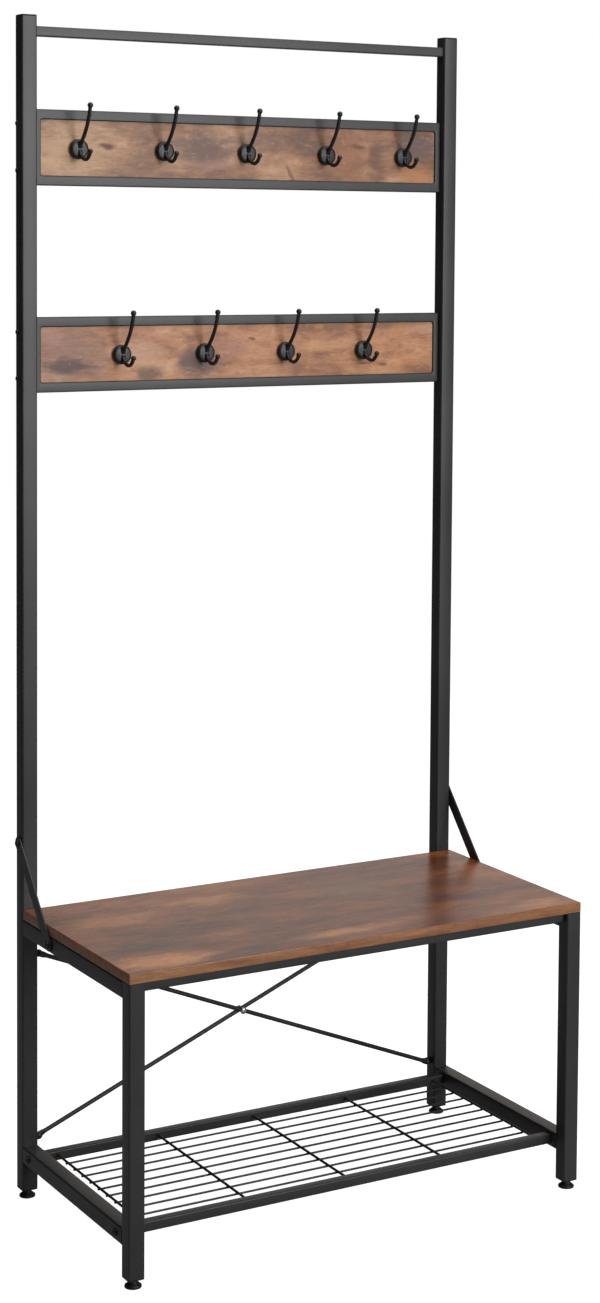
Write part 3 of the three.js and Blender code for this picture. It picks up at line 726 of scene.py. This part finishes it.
# %% [markdown]
# ## Braces and rods
# The side braces are flat bar with round ends. The two crossed rods at the back are round bar whose ends
# were flattened in a press and drilled. A press turns a circle into a wide thin oval of about the same
# girth, so the section's half width grows while its half thickness shrinks. Bending a cylinder with
# modifiers would not do that, so the section is a formula of the distance from the eye.

# %% Side braces
BRACE_END, BRACE_EDGE = 10 * MM, 0.5 * MM


def flat_bar(low, high):
    """A flat bar in the YZ plane whose upper end is at the rear of its box and its lower one at the
    front: two half circles round its eyes, inset by the edge round, and stacked across its thickness."""
    upper = np.array([high.y - BRACE_END, high.z - BRACE_END])
    lower = np.array([low.y + BRACE_END, low.z + BRACE_END])
    lean = math.atan2(*(upper - lower)[::-1])
    turn = np.linspace(-np.pi / 2, np.pi / 2, 15) + lean
    half_circle = np.stack([np.cos(turn), np.sin(turn)], -1)

    def brace_loop(inset):
        """Both half circles, their radius less the inset."""
        radius = BRACE_END - inset
        return np.concatenate([upper + radius * half_circle, lower - radius * half_circle])

    return slab_part(brace_loop, low.x, high.x, BRACE_EDGE, "X")


for side, _ in SIDES:
    coated(f"{side}_brace_bar", [flat_bar(*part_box(f"{side}_brace"))], f"{side}_brace")

# %% Crossed rods
ROD, EYE_ROUND, EYE_THICK = 3.5 * MM, 4.8 * MM, 2.0 * MM
PRESSED, BLEND = 5 * MM, 9 * MM
ROD_SLACK = 0.3 * MM
BOSS_END = 40 * MM
BACKWARD = np.array([0.0, 1.0, 0.0])


def pressed_rod(name, rises_right):
    """A rod along the line through its eyes. From an eye towards the middle the section blends from a
    flat of eye width to the round rod. Past the eye the half width follows a circle to nothing, and
    round the rivet in the middle it is at least that of a boss as wide as an eye."""
    low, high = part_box(name)
    eyes = np.array([[low.x + EYE_ROUND, low.z + EYE_ROUND], [high.x - EYE_ROUND, high.z - EYE_ROUND]])
    if not rises_right:
        eyes[:, 1] = eyes[::-1, 1]
    span = np.linalg.norm(eyes[1] - eyes[0])
    along = np.insert((eyes[1] - eyes[0]) / span, 1, 0.0)
    centre = np.array([eyes[:, 0].mean(), (low.y + high.y) / 2, eyes[:, 1].mean()])
    flat_start = span / 2 - PRESSED
    right = np.concatenate([np.linspace(0, EYE_ROUND, 9), [BOSS_END, flat_start - BLEND],
                            np.linspace(flat_start - 0.8 * BLEND, flat_start, 6),
                            span / 2 + EYE_ROUND * np.sin(np.linspace(0, np.pi / 2, 9))])
    place = np.unique(np.round(np.concatenate([-right, right]), 7))
    past_eye = np.abs(place) - span / 2
    share = np.clip((-past_eye - PRESSED) / BLEND, 0, 1)
    share = share * share * (3 - 2 * share)
    wide = np.maximum(EYE_ROUND + share * (ROD - EYE_ROUND), ball_section(EYE_ROUND, place))
    wide = np.where(past_eye > 0, ball_section(EYE_ROUND, past_eye), wide)
    thick = EYE_THICK + share * (ROD - ROD_SLACK - EYE_THICK)
    squareness = 0.6 + 0.4 * share
    rod = swept_part(centre + place[:, None] * along, np.cross(along, BACKWARD), BACKWARD, wide, thick, 16,
                     squareness)
    coated(f"{name}_bar", [rod], name)
    return [(x, z, low.y, high.y) for x, z in eyes]


eyes = pressed_rod("front_cross_rod", False) + pressed_rod("rear_cross_rod", True)
print("rod eyes", [(round(x, 3), round(z, 3)) for x, z, _, _ in eyes])

# %% [markdown]
# ## Lugs and rivets
# Each eye is riveted to a lug, a tab of sheet that is welded to its post. One plated rivet joins the rods
# where they cross. A rivet is a turned shape: a domed head in front, the shank through the metal, and a
# flat tail behind. Lug and rivet are placed by the eye, so they follow it if the rods are moved.

# %% Lugs and their rivets
LUG_HALF, LUG_THICK, LUG_EDGE = 5.5 * MM, 2.8 * MM, 0.4 * MM
LUG_WELD = 5 * MM
HEAD_ROUND, HEAD_TALL = 3.6 * MM, 1.8 * MM
TAIL_ROUND, TAIL_TALL, SHANK_ROUND = 3.0 * MM, 1.6 * MM, 1.9 * MM


def dome(radius, height, steps):
    """Profile of a domed head: radius times the cosine and height times the sine of the turn."""
    turn = np.linspace(0, np.pi / 2, steps)
    return [(radius * math.cos(t), height * math.sin(t)) for t in turn[:-1]] + [(0.0, height)]


lug_y = (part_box("front_cross_rod")[0].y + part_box("rear_cross_rod")[1].y) / 2
lug_front, lug_back = lug_y - LUG_THICK / 2, lug_y + LUG_THICK / 2
lug_parts, rivet_parts = [], []
for x, z, rod_front, rod_back in eyes:
    sign = 1 if x > 0 else -1
    inner = post_boxes["right"][0][0] if x > 0 else post_boxes["left"][1][0]

    def lug_loop(inset, x=x, z=z, sign=sign, inner=inner):
        """A tab with a round nose about the eye and square heels on the post."""
        turn = np.linspace(-np.pi / 2, np.pi / 2, 15)
        nose = LUG_HALF - inset
        tip = np.stack([z + nose * np.sin(turn), x - sign * nose * np.cos(turn)], -1)
        return np.concatenate([tip, [[z + nose, inner], [z - nose, inner]]])

    lug_parts.append(slab_part(lug_loop, lug_front, lug_back, LUG_EDGE, "Y"))
    lug_parts.append(weld((inner, lug_front, z - LUG_WELD), (inner, lug_front, z + LUG_WELD)))
    near, far = min(rod_front, lug_front), max(rod_back, lug_back)
    profile = [(0.0, far + TAIL_TALL), (TAIL_ROUND, far + TAIL_TALL), (TAIL_ROUND, far),
               (SHANK_ROUND, far), (SHANK_ROUND, near)]
    profile += [(radius, near - rise) for radius, rise in dome(HEAD_ROUND, HEAD_TALL, 6)]
    rivet_parts.append(turned_part(profile, 20, "Y", (x, 0, z)))
coated("rod_lugs", lug_parts)
coated("rod_eye_rivets", rivet_parts)
print("lugs", len(eyes), "at depth", round(lug_y, 4))

# %% Crossing rivet
CROSS_HEAD_ROUND, CROSS_HEAD_TALL = 5.5 * MM, 2.5 * MM
CROSS_TAIL_ROUND, CROSS_TAIL_TALL, CROSS_SHANK = 4.5 * MM, 2.0 * MM, 2.0 * MM

low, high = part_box("cross_rod_rivet")
middle = (low + high) / 2
seat_y = low.y + CROSS_HEAD_TALL
profile = [(0.0, high.y), (CROSS_TAIL_ROUND, high.y), (CROSS_TAIL_ROUND, high.y - CROSS_TAIL_TALL),
           (CROSS_SHANK, high.y - CROSS_TAIL_TALL), (CROSS_SHANK, seat_y)]
profile += [(radius, seat_y - rise) for radius, rise in dome(CROSS_HEAD_ROUND, CROSS_HEAD_TALL, 8)]
new_piece("cross_rivet", [turned_part(profile, 28, "Y", (middle.x, 0, middle.z))], zinc,
          stands_for=["cross_rod_rivet"])
print("crossing at height", round(middle.z, 4))

# %% [markdown]
# ## Shoe shelf
# The grid is drawn wire, spot-welded at each crossing: nine wires along, five across. Two electrodes
# squeeze each crossing hot, and leave a small collar of metal there. The cross wires are welded to the
# rails too. Curves with a bevel could draw the wires, but their ends would be flat. Wires and collars are
# one piece, because the real grid is.

# %% Wire grid
LONG_WIRE, CROSS_WIRE = 1.6 * MM, 2.0 * MM
LONG_WIRES, CROSS_WIRES = 9, 5
LONG_EDGE, CROSS_EDGE = 39.8 * MM, 21.0 * MM
CROSSING_COLLAR = [(0, -1.6), (1.8, -1.0), (2.2, 0), (1.8, 1.0), (0, 1.6)]
RAIL_COLLAR = [(0, -2.4), (2.4, -1.2), (2.9, 0), (2.4, 1.2), (0, 1.9)]


def straight_wire(start, end, radius):
    """A round wire whose ends are rounded: over the last radius its half width follows a circle."""
    start, end = np.array(start, float), np.array(end, float)
    length = np.linalg.norm(end - start)
    along = (end - start) / length
    cap = radius * (1 - np.cos(np.linspace(0, np.pi / 2, 4)))
    place = np.concatenate([cap, length - cap[::-1]])
    to_end = np.minimum(place, length - place)
    half = ball_section(radius, np.clip(radius - to_end, 0, None))
    upward = np.array([0.0, 0.0, 1.0])
    return swept_part(start + place[:, None] * along, upward, np.cross(along, upward), half)


def collar(profile, x, y, z):
    """A weld collar: a small turned bead whose profile is given in millimetres."""
    return turned_part(np.array(profile) * MM, 8, "Z", (x, y, z))


low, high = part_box("shelf_wire_grid")
front_rail = sum(corner.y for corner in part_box("shelf_front_rail")) / 2
inner_x = post_boxes["right"][0][0]
long_z, cross_z = low.z + LONG_WIRE, high.z - CROSS_WIRE
long_y = np.linspace(front_rail + LONG_EDGE, -front_rail - LONG_EDGE, LONG_WIRES)
cross_x = np.linspace(CROSS_EDGE - inner_x, inner_x - CROSS_EDGE, CROSS_WIRES)
wires = [straight_wire((low.x, y, long_z), (high.x, y, long_z), LONG_WIRE) for y in long_y]
wires += [straight_wire((x, low.y, cross_z), (x, high.y, cross_z), CROSS_WIRE) for x in cross_x]
collars = [collar(CROSSING_COLLAR, x, y, (low.z + high.z) / 2) for x in cross_x for y in long_y]
collars += [collar(RAIL_COLLAR, x, y, cross_z) for x in cross_x for y in (low.y, high.y)]
coated("shelf_wires", wires + collars, "shelf_wire_grid")
print("wires", len(wires), "collars", len(collars))

# %% [markdown]
# ## Double coat hooks
# A hook is a round base with a long arm that rises to a ball and a short prong that turns up below it.
# It is one casting. Spheres and bent cylinders could be joined by booleans, but a casting has no such
# creases. So each rod follows a cubic curve in the hook's own plane. Its radius swells where it leaves
# the base, and at the free end it is the larger of the rod's and a ball's section, so the ball grows out.

# %% Hooks
ARM = ((-2, 4), (12, 18), (30, 34), (36, 64.5))
PRONG = ((-2, -3), (8, -19), (28, -21), (36, -4))
BALL, TIP, HOOK_ROD = 4.4 * MM, 3.9 * MM, 2.9 * MM
FLARE, FLARE_RUN = 1.6 * MM, 3.5 * MM
BASE_ROUND, BASE_DEEP = 15 * MM, 8 * MM
BASE_RIM = [(0.6, 0.0), (0.0, 0.6), (0.0, 5.0), (0.7, 6.7), (2.2, 7.7), (4.0, 8.0)]


def hook_rod(points, ball, root):
    """A rod along a cubic Bezier curve of (reach, rise) pairs in millimetres, from a root (x, y, z).
    Its radius is the larger of the ball's section and the rod's radius with a flare, which dies away
    from the base as an exponential. The stations crowd together over the ball."""
    control = np.array(points, float) * MM
    t = np.linspace(0, 1, 600)[:, None]
    curve = ((1 - t) ** 3 * control[0] + 3 * (1 - t) ** 2 * t * control[1]
             + 3 * (1 - t) * t ** 2 * control[2] + t ** 3 * control[3])
    run = np.concatenate([[0], np.cumsum(np.linalg.norm(np.diff(curve, axis=0), axis=1))])
    length = run[-1]
    ends = length + ball * np.sin(np.linspace(-0.85, 1, 16) * np.pi / 2)
    place = np.concatenate([np.linspace(0, length - 1.05 * ball, 34), ends])
    heading = (curve[-1] - curve[-2]) / np.linalg.norm(curve[-1] - curve[-2])
    centre = np.stack([np.interp(place, run, curve[:, i]) for i in (0, 1)], -1)
    centre += np.clip(place - length, 0, None)[:, None] * heading
    slope = np.gradient(centre, axis=0)
    slope /= np.linalg.norm(slope, axis=1)[:, None]
    flare = FLARE * np.exp(-place / FLARE_RUN)
    section = ball_section(ball, place - length)
    radius = np.where(place > length, section, np.maximum(HOOK_ROD + flare, section))
    path = np.stack([np.full(len(place), root[0]), root[1] - centre[:, 0], root[2] + centre[:, 1]], -1)
    in_plane = np.stack([np.zeros(len(place)), slope[:, 1], slope[:, 0]], -1)
    return swept_part(path, [1.0, 0.0, 0.0], in_plane, radius, sides=18)


hook_names = sorted(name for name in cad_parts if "_hook_" in name)
for name in hook_names:
    low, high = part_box(name)
    centre_x, centre_z = (low.x + high.x) / 2, high.z - ARM[-1][1] * MM - BALL
    face = high.y - BASE_DEEP
    rim = [(BASE_ROUND - inset * MM, high.y - deep * MM) for inset, deep in BASE_RIM]
    base = turned_part([(0, high.y)] + rim + [(0, face)], 56, "Y", (centre_x, 0, centre_z))
    arm = hook_rod(ARM, BALL, (centre_x, face, centre_z))
    prong = hook_rod(PRONG, TIP, (centre_x, face, centre_z))
    new_piece(name.replace("hook", "coat_hook"), [base, arm, prong], enamel,
              stands_for=[name])
print("hooks", len(hook_names), "last centre height", round(centre_z, 4))

# %% [markdown]
# ## Caps and inserts
# A cap closes each post, and an insert closes each lower tube end. Both are mouldings with a plug that
# grips the tube's wall and a flange that covers its cut end. A plug is a stack of the tube's outline,
# each loop inset by what the route says, so the flange keeps the tube's own corners.

# %% Caps and inserts
PLUG_GAP, PLUG_LEAD = 1.6 * MM, 1 * MM
PLUG_CORNER = 1 * MM
CAP_TALL, FLANGE_TALL, FLANGE_EDGE = 2 * MM, 1.5 * MM, 0.4 * MM
CAP_CROWN = [(0.4, 0.0), (0.0, 0.35), (0.0, 1.2), (0.5, 1.7), (1.6, 1.95), (5.0, 2.0)]
STUD_HOLE = 4.3 * MM


def plug_loops(size, route):
    """The outline at each (inset, level) of a route, its corners shrunk by the inset."""
    return [round_loop(size.x - 2 * inset, size.y - 2 * inset, max(POST_CORNER - inset, PLUG_CORNER))
            for inset, _ in route]


def cap_part(low, high):
    """A plug, then the shoulder on the tube's end and the low crown above it."""
    size, middle = high - low, (high + low) / 2
    shoulder = high.z - CAP_TALL
    route = [(PLUG_GAP + PLUG_LEAD, low.z), (PLUG_GAP, low.z + PLUG_LEAD), (PLUG_GAP, shoulder)]
    route += [(inset * MM, shoulder + up * MM) for inset, up in CAP_CROWN]
    levels = [level for _, level in route]
    return grid_part(stations(plug_loops(size, route), levels, "Z", (middle.x, middle.y, 0)))


def insert_part(low, high):
    """A flange and a plug with a hole for the stud: the route goes up outside and down the hole. The
    hole's points lie at the same angles as the outline's, so they crowd at four corners. The hole is
    nearer a square than a circle, and its flats cut into the stud."""
    size, middle = high - low, (high + low) / 2
    flange = low.z + FLANGE_TALL
    route = [(FLANGE_EDGE, low.z), (0, low.z + FLANGE_EDGE), (0, flange), (PLUG_GAP, flange),
             (PLUG_GAP, high.z - PLUG_LEAD), (PLUG_GAP + PLUG_LEAD, high.z)]
    loops = plug_loops(size, route)
    angles = np.arctan2(loops[0][:, 1], loops[0][:, 0])
    hole = STUD_HOLE * np.stack([np.cos(angles), np.sin(angles)], -1)
    levels = [level for _, level in route] + [high.z, low.z]
    return grid_part(stations(loops + [hole, hole], levels, "Z", (middle.x, middle.y, 0)), wrap_along=True)


for side, _ in SIDES:
    new_piece(f"{side}_cap", [cap_part(*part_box(f"{side}_post_cap"))], polypropylene,
              stands_for=[f"{side}_post_cap"])
    for end in ENDS:
        new_piece(f"{side}_{end}_leg_insert", [insert_part(*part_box(f"{side}_{end}_insert"))],
                  polypropylene, stands_for=[f"{side}_{end}_insert"])
print("inserts", [f"{side}_{end}" for side, _ in SIDES for end in ENDS])

# %% [markdown]
# ## Levelling feet
# A foot screws into each insert and rides on its own body. Its stud has a rolled thread: the radius
# drops and rises with height and turn together, which makes a helix. A bump texture would leave the
# thread's outline straight. The pad's rim is ribbed, so fingers can turn it.

# %% Levelling feet
FOOT_SIDES, RIBS, RIB_SHARE = 48, 24, 0.03
THREAD_PITCH, THREAD_DEEP, STEPS_A_TURN = 1.25 * MM, 0.55 * MM, 5
STUD, STUD_TIP = 4.0 * MM, 3.2 * MM
THREAD_START = 12.3 * MM
PAD = [(0, 0), (11.5, 0), (12.2, 0.3), (12.4, 0.9), (12.4, 2.6), (12.0, 3.2), (9.6, 5.0), (7.0, 7.2),
       (6.5, 8.0), (6.5, 11.6), (6.1, 12.1), (3.9, 12.15)]
RIBBED = (3, 4)


def foot_part(low, high):
    """A turned pad whose widest loops are ribbed by a cosine of the turn, a neck, and a threaded stud.
    The stud's radius is STUD less THREAD_DEEP times (1 - cos a) / 2, where a is a whole turn for each
    pitch climbed, less the turn round the stud."""
    middle, tall = (low + high) / 2, high.z - low.z
    turn = np.arange(FOOT_SIDES) * 2 * np.pi / FOOT_SIDES
    loops = [circle(max(radius * MM, POLE), FOOT_SIDES) for radius, _ in PAD]
    for index in RIBBED:
        loops[index] = loops[index] * (1 - RIB_SHARE * (1 + np.cos(RIBS * turn)) / 2)[:, None]
    climb = np.arange(THREAD_START, tall, THREAD_PITCH / STEPS_A_TURN)
    wave = (1 - np.cos(2 * np.pi * climb[:, None] / THREAD_PITCH - turn)) / 2
    loops += list(circle(STUD, FOOT_SIDES) * (1 - wave * THREAD_DEEP / STUD)[..., None])
    loops += [circle(STUD_TIP, FOOT_SIDES), circle(POLE, FOOT_SIDES)]
    levels = [level * MM for _, level in PAD] + list(climb) + [tall, tall]
    return grid_part(stations(loops, np.array(levels) + low.z, "Z", (middle.x, middle.y, 0)))


for side, _ in SIDES:
    for end in ENDS:
        name = f"{side}_{end}_foot"
        new_piece(f"{side}_{end}_levelling_foot", [foot_part(*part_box(name))], polypropylene,
                  f"{name}_body", [name])

# %% [markdown]
# ## Bolts
# Button-head bolts with a hexagon socket hold the braces, the shelf's cross rails and the panel frames.
# A boolean could cut the socket, but it would leave long thin faces. Here the socket is a turned hole
# whose radius follows a hexagon: half the width across flats, divided by the cosine of the angle from the
# nearest flat's middle.

# %% Button-head bolts
BOLT_SIDES = 36
CROWN = [(0.55, 0.0), (0.72, 0.06), (0.86, 0.22), (0.96, 0.5), (1.0, 0.8), (1.0, 1.0)]
LARGE_BOLT = {"head": 3.0 * MM, "shank": 3.0 * MM, "across": 4.0 * MM}
SMALL_BOLT = {"head": 2.2 * MM, "shank": 2.2 * MM, "across": 2.5 * MM}
SOCKET_DEEP, SOCKET_SHARE = 1.6 * MM, 0.55


def button_bolt(low, high, sign, head, shank, across):
    """A bolt along X whose head is at the outer end of its box: socket, domed crown, then the shank.
    The crown's (radius, depth) pairs are shares of the head's radius and height."""
    head_round = (high.y - low.y) / 2
    length = high.x - low.x
    turn = np.arange(BOLT_SIDES) * 2 * np.pi / BOLT_SIDES
    hexagon = across / 2 / np.cos(np.mod(turn, np.pi / 3) - np.pi / 6)
    even = np.ones(BOLT_SIDES)
    socket = min(SOCKET_DEEP, SOCKET_SHARE * head)
    rings = [(POLE * even, socket), (0.98 * hexagon, socket), (hexagon, 0.03 * head)]
    rings += [(share * head_round * even, down * head) for share, down in CROWN]
    rings += [(shank * even, head), (shank * even, length), (POLE * even, length)]
    unit = circle(1.0, BOLT_SIDES)
    outer = high.x if sign > 0 else low.x
    places = [outer - sign * depth for _, depth in rings]
    return grid_part(stations([radius[:, None] * unit for radius, _ in rings], places, "X",
                              (0, (low.y + high.y) / 2, (low.z + high.z) / 2)))


bolt_count = 0
for side, sign in SIDES:
    bolts = {f"{side}_brace_{end}_bolt": LARGE_BOLT for end in ("upper", "lower")}
    bolts |= {f"shelf_{side}_{end}_bolt": LARGE_BOLT for end in ENDS}
    bolts |= {f"{side}_{panel}_panel_{end}_bolt": SMALL_BOLT
              for panel in ("upper", "lower") for end in ("top", "bottom")}
    for name, sizes in bolts.items():
        coated(name.replace("_bolt", "_button_bolt"), [button_bolt(*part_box(name), sign, **sizes)], name)
    bolt_count += len(bolts)
print("bolts", bolt_count)

# %% [markdown]
# The fine surfaces must stay inside the CAD model's box. The count of faces shows which pieces carry
# the detail.

# %% Face counts
finest = sorted(piece_sizes, key=piece_sizes.get)[-3:]
print("pieces", len(piece_sizes), "finest", {name: piece_sizes[name] for name in finest})
